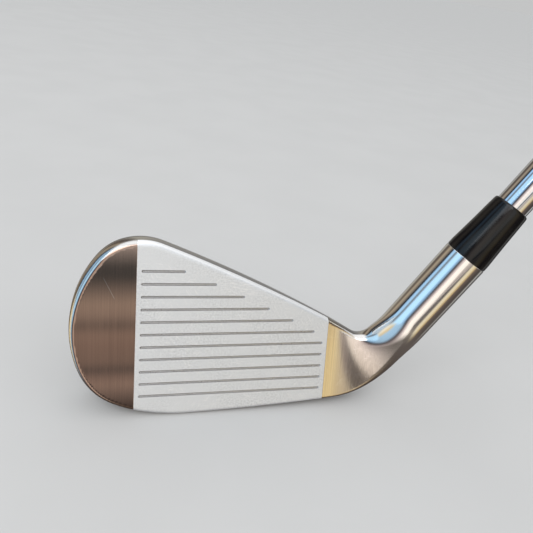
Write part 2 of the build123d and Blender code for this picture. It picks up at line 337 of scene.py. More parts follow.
def surface_net(low, high, step):
    """Vertices and quads of the field's zero surface, facing outwards."""
    axes = [np.arange(a, b + step, step) for a, b in zip(low, high)]
    x, v, n = np.meshgrid(*axes, indexing="ij", sparse=True)
    shape = tuple(len(axis) for axis in axes)
    full = [np.broadcast_to(part, shape) for part in (x, v, n)]
    values = np.empty(shape)
    for row in range(0, shape[0], SLAB):
        part = slice(row, row + SLAB)
        values[part] = head_field(*(axis[part] for axis in full))
    inside = values < 0.0
    cells = tuple(size - 1 for size in shape)
    total = np.zeros(cells + (3,))
    count = np.zeros(cells)
    corners = [(a, b, c) for a in (0, 1) for b in (0, 1) for c in (0, 1)]

    def at(grid, corner):
        return grid[tuple(slice(c, c + size) for c, size in zip(corner, cells))]

    for start in corners:
        for axis in range(3):
            if start[axis]:
                continue
            end = tuple(c + (k == axis) for k, c in enumerate(start))
            crossed = at(inside, start) != at(inside, end)
            first, last = at(values, start)[crossed], at(values, end)[crossed]
            place = np.array(start, float)[None, :].repeat(len(first), 0)
            place[:, axis] += first / (first - last)
            total[crossed] += place
            count[crossed] += 1.0
    used = count > 0
    index = np.full(cells, -1)
    index[used] = np.arange(used.sum())
    cell = np.argwhere(used)
    points = np.array(low) + (cell + total[used] / count[used][:, None]) * step

    quads = []
    for axis in range(3):
        one, two = [k for k in range(3) if k != axis]
        ahead = tuple(slice(1, None) if k == axis else slice(1, -1) for k in range(3))
        behind = tuple(slice(None, -1) if k == axis else slice(1, -1) for k in range(3))
        crossed = inside[behind] != inside[ahead]
        place = np.argwhere(crossed)
        place[:, one] += 1
        place[:, two] += 1
        ring = []
        for step_one, step_two in ((-1, -1), (0, -1), (0, 0), (-1, 0)):
            around = place.copy()
            around[:, one] += step_one
            around[:, two] += step_two
            ring.append(index[tuple(around.T)])
        ring = np.column_stack(ring)
        leaves = inside[behind][crossed]
        flip = leaves if axis == 1 else ~leaves
        ring[flip] = ring[flip][:, ::-1]
        quads.append(ring)
    quads = np.vstack(quads)
    return points, quads[(quads >= 0).all(axis=1)]


def settle(points):
    """Move the vertices onto the surface along its gradient."""
    for _ in range(SETTLE_STEPS):
        gradient = field_gradient(points)
        size = np.maximum((gradient**2).sum(axis=1), LEAST_SLOPE)
        shift = gradient * (field_at(points) / size)[:, None]
        length = np.maximum(np.linalg.norm(shift, axis=1), 1e-9)
        shift *= np.minimum(1.0, 0.5 * GRID_STEP / length)[:, None]
        points = points - shift
    return points


# --- the head's mesh: body, cut hosel with its bore, and the scorelines let into the face ---

SCORE_LENGTHS = [54.4] * 5 + [51.5, 44.5, 36.9, 29.2, 20.9, 12.0]      # from the sole up
SCORE_LOWEST = 6.7
SCORE_PITCH = 3.6
SCORE_TOE_END = -27.2
SCORE_HALF_WIDTH = 0.4
SCORE_PROFILE = [(SCORE_HALF_WIDTH, 0.0), (0.37, 0.01), (0.335, 0.04), (0.3, 0.1), (0.22, 0.25),
                 (0.14, 0.35), (0.05, 0.39)]      # distance from the scoreline's middle, depth
SCORE_END_POINTS = 9        # round each half-round end
PATCH = (-28.0, 28.2)       # x of the stretch of flat face that is rebuilt around the scorelines
TOUCH = 1e-3                # two places nearer than this are the same
FLAT = 1e-4                 # and faces this near the face's plane lie in it
EPSILON = 1e-7              # for the triangulation of the patch
HOSEL_CHAMFER = 0.25
BORE_PROFILE = [(HOSEL_RADIUS - HOSEL_CHAMFER, HOSEL_TOP), (BORE_RADIUS, HOSEL_TOP),
                (BORE_RADIUS, BORE_BOTTOM)]


def on_shaft(radius, height, angle):
    """World millimetres of a point this far from the shaft axis, at this height along it."""
    out = np.cos(angle)[..., None] * SHAFT_SIDE + np.sin(angle)[..., None] * SHAFT_ACROSS
    return SHAFT_FOOT + np.asarray(height)[..., None] * SHAFT_UP + np.asarray(radius)[..., None] * out


def shaft_angle(world):
    """Angle round the shaft axis of world points."""
    off = world - SHAFT_FOOT
    return np.arctan2(off @ SHAFT_ACROSS, off @ SHAFT_SIDE)


def capsule(length, low, offset):
    """Points round one scoreline at this offset from its middle line, and their outward directions."""
    reach = length / 2.0 - SCORE_HALF_WIDTH
    middle = SCORE_TOE_END + length / 2.0
    angles = np.linspace(-90.0, 90.0, SCORE_END_POINTS)
    turns = np.radians(np.concatenate((angles, angles + 180.0)))
    out = np.column_stack((np.cos(turns), np.sin(turns)))
    ends = np.where(np.arange(len(turns)) < SCORE_END_POINTS, reach, -reach)
    return np.column_stack((middle + ends, np.full(len(turns), low))) + offset * out, out


def cut_groove(shell, normals, length, low):
    """The walls and bottom of one scoreline, and its rim's vertices."""
    offsets, depths = zip(*SCORE_PROFILE)
    slopes = np.gradient(depths, offsets)
    slopes[0] = 0.0
    slopes[-1] = 0.0
    rings = []
    for offset, depth, slope in zip(offsets, depths, slopes):
        spots, outs = capsule(length, low, offset)
        ring = [shell.verts.new((x, v, -depth)) for x, v in spots]
        for corner, out in zip(ring, outs):
            normals[corner] = (slope * out[0], slope * out[1], 1.0)
        rings.append(ring)
    for outer, inner in zip(rings[:-1], rings[1:]):
        for k in range(len(outer)):
            after = (k + 1) % len(outer)
            wall = shell.faces.new((outer[k], outer[after], inner[after], inner[k]))
            # The groove takes the second material, darkened as painted shade.
            wall.material_index = 1
    shell.faces.new(rings[-1]).material_index = 1
    return rings[0]


def in_ring(point, sides):
    """Whether a point is inside a closed ring of sides."""
    crossings = 0
    for a, b in sides:
        if (a.y > point.y) != (b.y > point.y):
            crossings += point.x < a.x + (point.y - a.y) * (b.x - a.x) / (b.y - a.y)
    return crossings % 2 == 1


def in_scoreline(point):
    """Whether a point of the face is in one of the scorelines."""
    for row, length in enumerate(SCORE_LENGTHS):
        start = SCORE_TOE_END + SCORE_HALF_WIDTH
        end = SCORE_TOE_END + length - SCORE_HALF_WIDTH
        off_x = point.x - min(max(point.x, start), end)
        off_v = point.y - SCORE_LOWEST - row * SCORE_PITCH
        if math.hypot(off_x, off_v) < SCORE_HALF_WIDTH - TOUCH:
            return True
    return False


def cut_scorelines(shell, normals):
    """Swap the flat middle of the face for one with the scorelines in it."""
    flat = {face for face in shell.faces
            if all(abs(c.co.z) < FLAT and PATCH[0] < c.co.x < PATCH[1] for c in face.verts)}
    border = [edge for edge in shell.edges if sum(face in flat for face in edge.link_faces) == 1]
    rim = list(dict.fromkeys(corner for edge in border for corner in edge.verts))
    place = {corner: k for k, corner in enumerate(rim)}
    bmesh.ops.delete(shell, geom=list(flat), context="FACES_ONLY")
    lonely = [corner for corner in shell.verts if not corner.link_faces and corner not in place]
    corners = [corner.co.xy.copy() for corner in rim]
    edges = [(place[edge.verts[0]], place[edge.verts[1]]) for edge in border]
    sides = [(corners[a], corners[b]) for a, b in edges]
    fitted = list(rim)
    for row, length in enumerate(SCORE_LENGTHS):
        first = len(corners)
        groove = cut_groove(shell, normals, length, SCORE_LOWEST + row * SCORE_PITCH)
        corners += [corner.co.xy.copy() for corner in groove]
        fitted += groove
        edges += [(first + k, first + (k + 1) % len(groove)) for k in range(len(groove))]
    spots, _, faces, sources, _, _ = delaunay_2d_cdt(corners, edges, [], 0, EPSILON)
    for face in faces:
        middle = sum((spots[k] for k in face), Vector((0.0, 0.0))) / len(face)
        if in_ring(middle, sides) and not in_scoreline(middle):
            shell.faces.new([fitted[sources[k][0]] for k in face])
    bmesh.ops.delete(shell, geom=lonely, context="VERTS")


def cut_hosel(shell, loop_normals):
    """Cut the hosel off square, chamfer it and let the bore in."""
    cut = HOSEL_TOP - HOSEL_CHAMFER
    geometry = shell.verts[:] + shell.edges[:] + shell.faces[:]
    at = AXIS_FOOT + AXIS_UP * cut
    bmesh.ops.bisect_plane(shell, geom=geometry, plane_co=at, plane_no=AXIS_UP, clear_outer=True)
    rim = [c for c in shell.verts if c.is_boundary and abs((np.array(c.co) - at) @ AXIS_UP) < TOUCH]
    angles = shaft_angle(face_to_world(np.array([c.co for c in rim])))
    order = np.argsort(angles)
    angles = angles[order]
    rings = [[rim[k] for k in order]]
    for corner, spot in zip(rings[0], world_to_face(on_shaft(HOSEL_RADIUS, cut, angles))):
        corner.co = spot
    for radius, height in BORE_PROFILE:
        spots = world_to_face(on_shaft(radius, height, angles))
        rings.append([shell.verts.new(spot) for spot in spots])
    profile = [(HOSEL_RADIUS, cut)] + BORE_PROFILE
    outs = on_shaft(1.0, 0.0, angles) - SHAFT_FOOT
    for outer, inner, start, end in zip(rings[:-1], rings[1:], profile[:-1], profile[1:]):
        run = np.array(end) - np.array(start)
        facing = turn_to_face(outs * run[1] - SHAFT_UP * run[0]) / np.hypot(*run)
        for k in range(len(outer)):
            after = (k + 1) % len(outer)
            face = shell.faces.new((outer[k], outer[after], inner[after], inner[k]))
            loop_normals[face] = [facing[k], facing[after], facing[after], facing[k]]
    bottom = shell.faces.new(rings[-1])
    loop_normals[bottom] = [AXIS_UP] * len(rings[-1])


def make_piece(name, mesh, materials, node, placed=Matrix.Identity(4)):
    """A finished piece on the club's one body, in the place of its CAD node."""
    for material in materials:
        mesh.materials.append(material)
    piece = bpy.data.objects.new(name, mesh)
    bpy.context.scene.collection.objects.link(piece)
    piece.matrix_world = placed
    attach(piece, "root")
    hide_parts(node)


def make_head(material, groove_shade_material):
    """The whole head as one mesh, with its normals taken from the field."""
    points, quads = surface_net(GRID_LOW, GRID_HIGH, GRID_STEP)
    points = settle(points)
    mesh = bpy.data.meshes.new("iron_head")
    mesh.from_pydata(points.tolist(), [], quads.tolist())
    shell = bmesh.new()
    shell.from_mesh(mesh)
    normals = {}
    loop_normals = {}
    cut_hosel(shell, loop_normals)
    cut_scorelines(shell, normals)
    shell.verts.index_update()
    shell.faces.index_update()

    spots = np.array([c.co for c in shell.verts])
    facing = field_gradient(spots)
    for corner, normal in normals.items():
        facing[corner.index] = normal
    given = {face.index: corners for face, corners in loop_normals.items()}
    shell.to_mesh(mesh)
    shell.free()

    every = np.zeros(len(mesh.loops), int)
    mesh.loops.foreach_get("vertex_index", every)
    split = facing[every]
    for face, corners in given.items():
        start = mesh.polygons[face].loop_start
        split[start:start + len(corners)] = corners
    split = turn_to_world(split)
    split /= np.linalg.norm(split, axis=1)[:, None]
    mesh.vertices.foreach_set("co", (face_to_world(spots) * MM).ravel())
    mesh.polygons.foreach_set("use_smooth", [True] * len(mesh.polygons))
    mesh.normals_split_custom_set(split.tolist())
    mesh.update()
    make_piece("iron_head", mesh, (material, groove_shade_material), "head")


# --- turned pieces on the shaft axis ---

FERRULE_BORE = 4.75
FERRULE_PROFILE = [(6.38, 60.0), (6.5, 60.12), (6.47, 62.0), (6.2, 65.5), (5.88, 70.0), (5.62, 74.5),
                   (5.4, 77.8), (5.33, 78.25), (5.18, 78.58), (4.95, 78.7), (FERRULE_BORE, 78.6),
                   (FERRULE_BORE, 60.0)]      # radius, height, as in the profiles below
TIP_WALL = 0.65
BUTT_WALL = 0.38
STEP_COUNT = 12
FIRST_STEP = 260.0
STEP_PITCH = 34.9
STEP_CONE = 1.6
BAND_HEIGHTS = (655.0, 701.0)
BAND_RADIUS = SHAFT_BUTT_RADIUS + 0.1
BAND_PROFILE = [(BAND_RADIUS, BAND_HEIGHTS[0]), (BAND_RADIUS, BAND_HEIGHTS[1]),
                (SHAFT_BUTT_RADIUS, BAND_HEIGHTS[1]), (SHAFT_BUTT_RADIUS, BAND_HEIGHTS[0])]
TAPE_RADIUS = 7.87
TAPE_BOTTOM = 730.0
GRIP_BOTTOM = 723.0
GRIP_TOP = 983.0
GRIP_MOUTH_RADIUS = 8.5
GRIP_PROFILE = [(9.3, 0.8), (9.35, 4.5), (8.9, 7.0), (9.2, 50.0), (9.9, 120.0), (10.9, 190.0),
                (12.3, 240.0), (13.3, 255.0), (14.4, 260.0)]      # radius, height above the grip's mouth
CLUB_LENGTH = 989.6
VENT_RADIUS = 1.9
VENT_CHAMFER = 0.3
CAP_PROFILE = [(14.4, GRIP_TOP), (14.75, 983.8), (15.0, 985.0), (14.95, 986.4), (14.6, 988.0), (14.0, 989.0),
               (13.2, 989.5), (12.2, CLUB_LENGTH), (VENT_RADIUS + VENT_CHAMFER, CLUB_LENGTH),
               (VENT_RADIUS, CLUB_LENGTH - VENT_CHAMFER), (VENT_RADIUS, SHAFT_TOP),
               (TAPE_RADIUS, SHAFT_TOP), (TAPE_RADIUS, GRIP_TOP)]
SEGMENTS = 96
LATHE_SMOOTH = 32.0         # degrees between two faces, below which they are shaded as one
GRIP_SMOOTH = 50.0
SHAFT_FRAME = Matrix.Translation(Vector(SHAFT_FOOT) * MM) @ Matrix(
    (SHAFT_ACROSS, SHAFT_SIDE, SHAFT_UP)).transposed().to_4x4()


def wheel(radius, height, angles):
    """Points round the shaft axis, in its own frame: one ring for each row of radii."""
    radius, height, angles = np.broadcast_arrays(radius, height, angles)
    return np.stack((radius * np.cos(angles), radius * np.sin(angles), height), -1)


def turned(name, rings, material, node, smooth_below):
    """A skin through a closed loop of rings of points, placed on the shaft axis."""
    count, segments = rings.shape[:2]
    corner = np.arange(count * segments).reshape(count, segments)
    after = np.roll(corner, -1, axis=1)
    below = np.roll(corner, -1, axis=0)
    quads = np.stack((corner, after, np.roll(after, -1, axis=0), below), -1).reshape(-1, 4)
    mesh = bpy.data.meshes.new(name)
    mesh.from_pydata((rings.reshape(-1, 3) * MM).tolist(), [], quads.tolist())
    mesh.polygons.foreach_set("use_smooth", [True] * len(mesh.polygons))
    mesh.set_sharp_from_angle(angle=math.radians(smooth_below))
    make_piece(name, mesh, (material,), node, SHAFT_FRAME)


def lathe(name, profile, material, node):
    """A turned piece from its closed profile of radius and height, listed upwards on the outside."""
    profile = np.array(profile)
    angles = np.linspace(0.0, 2.0 * math.pi, SEGMENTS, endpoint=False)
    turned(name, wheel(profile[:, :1], profile[:, 1:], angles), material, node, LATHE_SMOOTH)


def shaft_profile():
    """Outside of the stepped tube from tip to butt, then its inside back down."""
    outside = [(SHAFT_TIP_RADIUS, SHAFT_BOTTOM)]
    inside = [(SHAFT_TIP_RADIUS - TIP_WALL, SHAFT_BOTTOM)]
    for step in range(STEP_COUNT):
        bottom = FIRST_STEP + step * STEP_PITCH
        for height, done in ((bottom, step), (bottom + STEP_CONE, step + 1)):
            share = done / STEP_COUNT
            radius = mix(SHAFT_TIP_RADIUS, SHAFT_BUTT_RADIUS, share)
            outside.append((radius, height))
            inside.append((radius - mix(TIP_WALL, BUTT_WALL, share), height))
    outside.append((SHAFT_BUTT_RADIUS, SHAFT_TOP))
    inside.append((SHAFT_BUTT_RADIUS - BUTT_WALL, SHAFT_TOP))
    return outside + inside[::-1]


# --- grip: a moulded sleeve with crossed grooves let into it ---

GRIP_SEGMENTS = 126
GRIP_STEP = 0.62
MOUTH_END = 9.0             # the mouth's curved lip is drawn finer, up to here
MOUTH_STEP = 0.45
GROOVES_ROUND = 14          # grooves met on the way round, of each hand
GROOVE_RISE = 4.3           # distance along the grip between two of one hand
GROOVE_SIDES = (0.2, 0.04)  # shares of the spacing between which the groove's side slopes
GROOVE_DEPTH = 0.55
TREAD = (16.0, 244.0)       # stretch of the grip that has the tread
TREAD_FADE = 3.0
PLAIN_RINGS = [11.0, 13.2, 247.0, 249.2]      # heights above the mouth, as the tread's
RING_SIDES = (0.55, 0.1)    # distances from a ring's middle between which its side slopes
RING_DEPTH = 0.35
GRIP_INSIDE = [(TAPE_RADIUS, GRIP_TOP), (TAPE_RADIUS, TAPE_BOTTOM), (SHAFT_BUTT_RADIUS, TAPE_BOTTOM),
               (SHAFT_BUTT_RADIUS, GRIP_BOTTOM), (GRIP_MOUTH_RADIUS, GRIP_BOTTOM),
               (9.0, GRIP_BOTTOM + 0.2)]


def make_grip(material):
    """The sleeve, from its mouth up the outside and back down its bore."""
    radii, heights = np.array(GRIP_PROFILE).T
    length = GRIP_TOP - GRIP_BOTTOM
    above = np.concatenate((np.arange(heights[0], MOUTH_END, MOUTH_STEP),
                            np.arange(MOUTH_END, length, GRIP_STEP), [length]))
    radius = np.interp(above, heights, radii)
    angles = np.linspace(0.0, 2.0 * math.pi, GRIP_SEGMENTS, endpoint=False)
    turns = GROOVES_ROUND * angles / (2.0 * math.pi)
    rise = above[:, None] / GROOVE_RISE
    cut = np.zeros((len(above), GRIP_SEGMENTS))
    for hand in (1.0, -1.0):
        phase = (hand * turns + rise) % 1.0
        cut = np.maximum(cut, smooth(*GROOVE_SIDES, np.minimum(phase, 1.0 - phase)))
    start, end = TREAD
    shown = smooth(start, start + TREAD_FADE, above) * smooth(end, end - TREAD_FADE, above)
    cut *= (GROOVE_DEPTH * shown)[:, None]
    for ring in PLAIN_RINGS:
        cut = np.maximum(cut, RING_DEPTH * smooth(*RING_SIDES, np.abs(above - ring))[:, None])
    outside = wheel(radius[:, None] - cut, GRIP_BOTTOM + above[:, None], angles)
    inner = np.array(GRIP_INSIDE)
    inside = wheel(inner[:, :1], inner[:, 1:], angles)
    rings = np.concatenate((outside, inside))
    turned("grip_sleeve", rings, material, "grip", GRIP_SMOOTH)


# --- materials ---

PER_MM = (1000.0, 1000.0, 1000.0)      # the materials are worked in millimetres
FACE_TURN = (LOFT - math.pi / 2.0, 0.0, 0.0)
FACE_SHIFT = (0.0, -FACE_SETBACK * SIN_LOFT, FACE_SETBACK * COS_LOFT)
GRAIN = (0.35, 0.65)                   # most of a noise lies between these
NO_SHIFT = (0.0, 0.0, 0.0)


def add_node(tree, kind, sockets, result=0, **settings):
    """A node with these sockets fed or set, and one of its outputs."""
    made = tree.nodes.new("ShaderNode" + kind)
    for name, value in settings.items():
        setattr(made, name, value)
    for name, value in sockets.items():
        if isinstance(value, bpy.types.NodeSocket):
            tree.links.new(value, made.inputs[name])
        else:
            made.inputs[name].default_value = value
    return made.outputs[result]


class Nodes:
    """One material's node tree, with its shader."""

    def __init__(self, name, metallic=0.0, roughness=0.5):
        self.material = bpy.data.materials.new(name)
        self.material.use_nodes = True
        self.tree = self.material.node_tree
        self.shader = self.tree.nodes["Principled BSDF"]
        self.shader.inputs["Metallic"].default_value = metallic
        self.shader.inputs["Roughness"].default_value = roughness

    def add(self, kind, sockets, result=0, **settings):
        return add_node(self.tree, kind, sockets, result, **settings)

    def math(self, operation, first, second=0.0):
        return self.add("Math", {0: first, 1: second}, operation=operation)

    def times(self, *values):
        product = values[0]
        for value in values[1:]:
            product = self.math("MULTIPLY", product, value)
        return product

    def ramp(self, value, low, high, start=0.0, end=1.0):
        """start below low, end above high, and an even S between them."""
        flip = low > high
        sockets = {"Value": value, "From Min": min(low, high), "From Max": max(low, high),
                   "To Min": end if flip else start, "To Max": start if flip else end}
        return self.add("MapRange", sockets, interpolation_type="SMOOTHSTEP")

    def band(self, value, low, high, soft):
        """1 between low and high, 0 outside."""
        rise = self.ramp(value, low - soft, low + soft)
        return self.times(rise, self.ramp(value, high + soft, high - soft))

    def most(self, *values):
        largest = values[0]
        for value in values[1:]:
            largest = self.math("MAXIMUM", largest, value)
        return largest

    def place(self, shift=NO_SHIFT, turn=NO_SHIFT):
        """The piece's own coordinates, in millimetres after this shift and turn."""
        own = self.add("TexCoord", {}, "Object")
        sockets = {"Vector": own, "Location": shift, "Rotation": turn, "Scale": PER_MM}
        return self.add("Mapping", sockets)

    def stretch(self, vector, scale, turn=0.0, shift=NO_SHIFT):
        sockets = {"Vector": vector, "Scale": scale, "Rotation": (0.0, 0.0, turn), "Location": shift}
        return self.add("Mapping", sockets)

    def noise(self, vector, scale=1.0, detail=2.0, roughness=0.5):
        sockets = {"Vector": vector, "Scale": scale, "Detail": detail, "Roughness": roughness}
        return self.add("TexNoise", sockets)

    def streaks(self, vector, scale):
        """Noise drawn out by unequal scales, as brushing leaves it."""
        return self.noise(self.stretch(vector, scale), 1.0, 3.0, 0.6)

    def split(self, vector):
        return tuple(self.add("SeparateXYZ", {0: vector}).node.outputs)

    def blend(self, share, first, second):
        return self.add("MixRGB", {"Fac": share, "Color1": first, "Color2": second})

    def toned(self, noise, first, second):
        """One colour or the other, as the noise has it."""
        return self.blend(self.ramp(noise, *GRAIN), first, second)

    def bump(self, height, depth, under=None):
        """A surface roughened by this height, which counts for depth in millimetres."""
        sockets = {"Height": height, "Distance": depth * MM, "Strength": 1.0}
        if under:
            sockets["Normal"] = under
        return self.add("Bump", sockets)

    def feed(self, **sockets):
        """Link values to the shader's sockets, whose names have spaces for underscores."""
        for name, value in sockets.items():
            self.tree.links.new(value, self.shader.inputs[name.replace("_", " ")])


def grey(value):
    return (value, value, value, 1.0)


def shade(colour, share):
    """The colour darkened to this share of itself."""
    return tuple(share * part for part in colour)


# --- head steel: zones by place on the head, then grain, colour and marks in each ---

BLASTED = (-28.4, 28.6)     # the blasted stretch of the face, from toe to heel
BLASTED_BACK = -1.25        # and how far round the edge it goes
BLASTED_METAL = 0.5         # its pits scatter part of the light as paint does
BLASTED_EDGE = 0.06         # softness of its borders
FLAT_FADE = (-0.35, -0.1)   # depths over which the flat face's finish comes in
HEEL_DEPTH = (-3.5, -1.5)   # the same for the brushed heel
GOLD_REFLECTION_FADE = (30.0, 35.0)    # x over which the painted gold reflection ends
HEEL_FADE = (30.0, 12.0)    # heights along the shaft axis over which the brushed heel gives way
HOSEL_FADE = (14.0, 28.0)   # to the polished hosel
CAVITY_FRONT = (-3.2, -3.4)      # depths between which the cavity's finish lies
CAVITY_BACK = (-9.5, -8.8)
RUBBED = ((-5.0, 10.0), (36.0, 43.0))      # patch of the face with the most wear
TOE_SCRATCH = (-35.6, 38.0)
TOE_SCRATCH_TURN = 1.1
TOE_SCRATCH_HALF = 3.2
BLASTED_COLOUR = (0.80, 0.825, 0.85, 1.0)
# Painted reflection: the toe's dark brown stands in for the brown surroundings that its polished steel
# mirrors.
TOE_PAINTED_REFLECTION = (0.34, 0.25, 0.205, 1.0)
HEEL_COLOUR = (0.62, 0.56, 0.51, 1.0)
# Painted reflection: the gold strip along the heel stands in for warm surroundings that the brushed steel
# mirrors.
GOLD_PAINTED_REFLECTION = (0.88, 0.79, 0.62, 1.0)
RIM_COLOUR = (0.72, 0.70, 0.67, 1.0)
HOSEL_COLOUR = (0.86, 0.85, 0.83, 1.0)
CAVITY_COLOUR = (0.40, 0.39, 0.385, 1.0)


def head_zones(nodes, face, on_axis):
    """The share of each finish at a place on the head, with the heel's strip of painted gold reflection."""
    x, _, n = nodes.split(face)
    along = nodes.split(on_axis)[2]
    toe_edge, heel_edge = BLASTED
    in_front = nodes.ramp(n, BLASTED_BACK - 0.05, BLASTED_BACK + 0.05)
    past_toe = nodes.ramp(x, toe_edge + BLASTED_EDGE, toe_edge - BLASTED_EDGE)
    past_heel = nodes.ramp(x, heel_edge - BLASTED_EDGE, heel_edge + BLASTED_EDGE)
    heel = nodes.times(past_heel, nodes.ramp(n, *HEEL_DEPTH), nodes.ramp(along, *HEEL_FADE))
    return {
        "blasted": nodes.times(nodes.band(x, *BLASTED, BLASTED_EDGE), in_front),
        "toe": nodes.times(nodes.ramp(n, *FLAT_FADE), past_toe),
        "heel": heel,
        "strip": nodes.times(heel, nodes.ramp(x, *reversed(GOLD_REFLECTION_FADE))),
        "hosel": nodes.ramp(along, *HOSEL_FADE),
        "cavity": nodes.times(nodes.ramp(n, *CAVITY_FRONT), nodes.ramp(n, *CAVITY_BACK)),
    }


def head_grains(nodes, face, on_axis):
    """Brushing in its several directions, the pits of blasting and broad clouding."""
    return {
        "fine up": nodes.streaks(face, (4.2, 0.05, 4.2)),
        "broad up": nodes.streaks(face, (2.6, 0.025, 2.6)),
        "along shaft": nodes.streaks(on_axis, (3.4, 3.4, 0.06)),
        "over": nodes.streaks(face, (0.07, 2.4, 2.4)),
        "pits": nodes.noise(face, 1.9, 4.0, 0.75),
        "cloud": nodes.noise(face, 0.07, 3.0),
    }


def scratch_marks(nodes, vector, angle, seed, limit):
    """Thin marks that run in one direction, in scattered patches."""
    turned_to = nodes.stretch(vector, (1.0, 1.0, 1.0), angle, (seed, 2.0 * seed, 0.0))
    drawn = nodes.noise(nodes.stretch(turned_to, (0.22, 5.5, 1.0)), 1.0, 1.0)
    patches = nodes.noise(nodes.stretch(vector, (0.11, 0.16, 0.1), 0.0, (3.0 * seed, seed, 0.0)), 1.0, 0.0)
    return nodes.times(nodes.ramp(drawn, limit, limit + 0.03), nodes.ramp(patches, 0.47, 0.6))


def wear_marks(nodes, face, zones):
    """Small scratches and one rubbed patch on the blasted face, fewer on the heel."""
    x, v, _ = nodes.split(face)
    streaky = nodes.ramp(nodes.noise(nodes.stretch(face, (0.3, 4.5, 1.0)), 1.0, 2.0), 0.52, 0.58)
    rubbed = nodes.times(nodes.band(x, *RUBBED[0], 3.0), nodes.band(v, *RUBBED[1], 2.0), streaky)
    marks = nodes.most(scratch_marks(nodes, face, 0.12, 3.0, 0.645),
                       scratch_marks(nodes, face, -0.9, 11.0, 0.65),
                       scratch_marks(nodes, face, 1.0, 23.0, 0.65),
                       nodes.times(rubbed, 0.8))
    return nodes.times(marks, nodes.most(zones["blasted"], nodes.times(zones["heel"], 0.6)))


def toe_scratch(nodes, face, zones):
    """One longer scratch across the toe."""
    middle = Matrix.Rotation(TOE_SCRATCH_TURN, 2) @ Vector(TOE_SCRATCH)
    along, across, _ = nodes.split(nodes.stretch(face, (1.0, 1.0, 1.0), TOE_SCRATCH_TURN))
    return nodes.times(zones["toe"],
                       nodes.band(along, middle.x - TOE_SCRATCH_HALF, middle.x + TOE_SCRATCH_HALF, 0.5),
                       nodes.band(across, middle.y - 0.05, middle.y + 0.05, 0.05))


def head_colour(nodes, face, zones, grains):
    """Each zone's colour over the rim's, then the marks. The toe's brown and the heel's gold strip are
    painted reflections, and the face's rounded edge is lightened as a painted highlight.
    """
    over, broad, pits = grains["over"], grains["broad up"], grains["pits"]
    blasted = nodes.blend(nodes.ramp(pits, 0.36, 0.64), BLASTED_COLOUR, shade(BLASTED_COLOUR, 0.8))
    blasted = nodes.toned(grains["cloud"], blasted, shade(BLASTED_COLOUR, 0.93))
    # Painted highlight: the blasted face's rounded edge is lightened to near white where it turns back from
    # the flat.
    edge = nodes.ramp(nodes.split(face)[2], -0.1, -0.5)
    layers = {
        "hosel": HOSEL_COLOUR,
        "heel": nodes.toned(broad, HEEL_COLOUR, shade(HEEL_COLOUR, 0.88)),
        # the heel's painted gold reflection
        "strip": nodes.toned(broad, GOLD_PAINTED_REFLECTION, shade(GOLD_PAINTED_REFLECTION, 0.88)),
        # the toe's painted brown reflection
        "toe": nodes.toned(broad, TOE_PAINTED_REFLECTION, shade(TOE_PAINTED_REFLECTION, 0.9)),
        "cavity": CAVITY_COLOUR,
        "blasted": nodes.blend(edge, blasted, grey(0.97)),
    }
    colour = nodes.toned(over, RIM_COLOUR, shade(RIM_COLOUR, 0.9))
    for zone, layer in layers.items():
        colour = nodes.blend(zones[zone], colour, layer)
    colour = nodes.blend(nodes.times(toe_scratch(nodes, face, zones), 0.45), colour, grey(0.8))
    return nodes.blend(nodes.times(wear_marks(nodes, face, zones), 0.55), colour, grey(0.95))


def head_roughness(nodes, zones, grains):
    """Each zone's roughness over the rim's."""
    layers = {
        "hosel": nodes.ramp(grains["cloud"], *GRAIN, 0.09, 0.13),
        "heel": grey(0.18),
        "toe": nodes.ramp(grains["fine up"], *GRAIN, 0.04, 0.065),
        "cavity": grey(0.4),
        "blasted": nodes.ramp(grains["pits"], *GRAIN, 0.42, 0.52),
    }
    rough = nodes.ramp(grains["cloud"], *GRAIN, 0.17, 0.24)
    for zone, layer in layers.items():
        rough = nodes.blend(zones[zone], rough, layer)
    return rough


def head_relief(nodes, zones, grains):
    """Brushing lines under the pits of the blasted face and the cavity."""
    lines = nodes.blend(nodes.most(zones["toe"], zones["heel"]), grains["over"], grains["fine up"])
    lines = nodes.blend(zones["hosel"], lines, grains["along shaft"])
    lines = nodes.blend(nodes.most(zones["blasted"], zones["cavity"]), lines, grey(0.5))
    pitted = nodes.most(zones["blasted"], nodes.times(zones["cavity"], 0.7))
    return nodes.bump(nodes.times(grains["pits"], pitted), 0.06, nodes.bump(lines, 0.006))


def head_steel():
    """Forged steel, finished by place: blasted, brushed and polished, with painted reflections in the toe's
    brown and the heel's gold strip.
    """
    nodes = Nodes("satin_forged_steel", 1.0)
    face = nodes.place(FACE_SHIFT, FACE_TURN)
    on_axis = nodes.add("VectorRotate", {"Vector": nodes.place(), "Center": tuple(SHAFT_FOOT),
                                         "Axis": (0.0, 1.0, 0.0), "Angle": LIE - math.pi / 2.0})
    zones = head_zones(nodes, face, on_axis)
    grains = head_grains(nodes, face, on_axis)
    nodes.feed(Base_Color=head_colour(nodes, face, zones, grains),
               Roughness=head_roughness(nodes, zones, grains),
               Normal=head_relief(nodes, zones, grains),
               Metallic=nodes.ramp(zones["blasted"], 0.0, 1.0, 1.0, BLASTED_METAL))
    return nodes.material


# --- the other materials ---

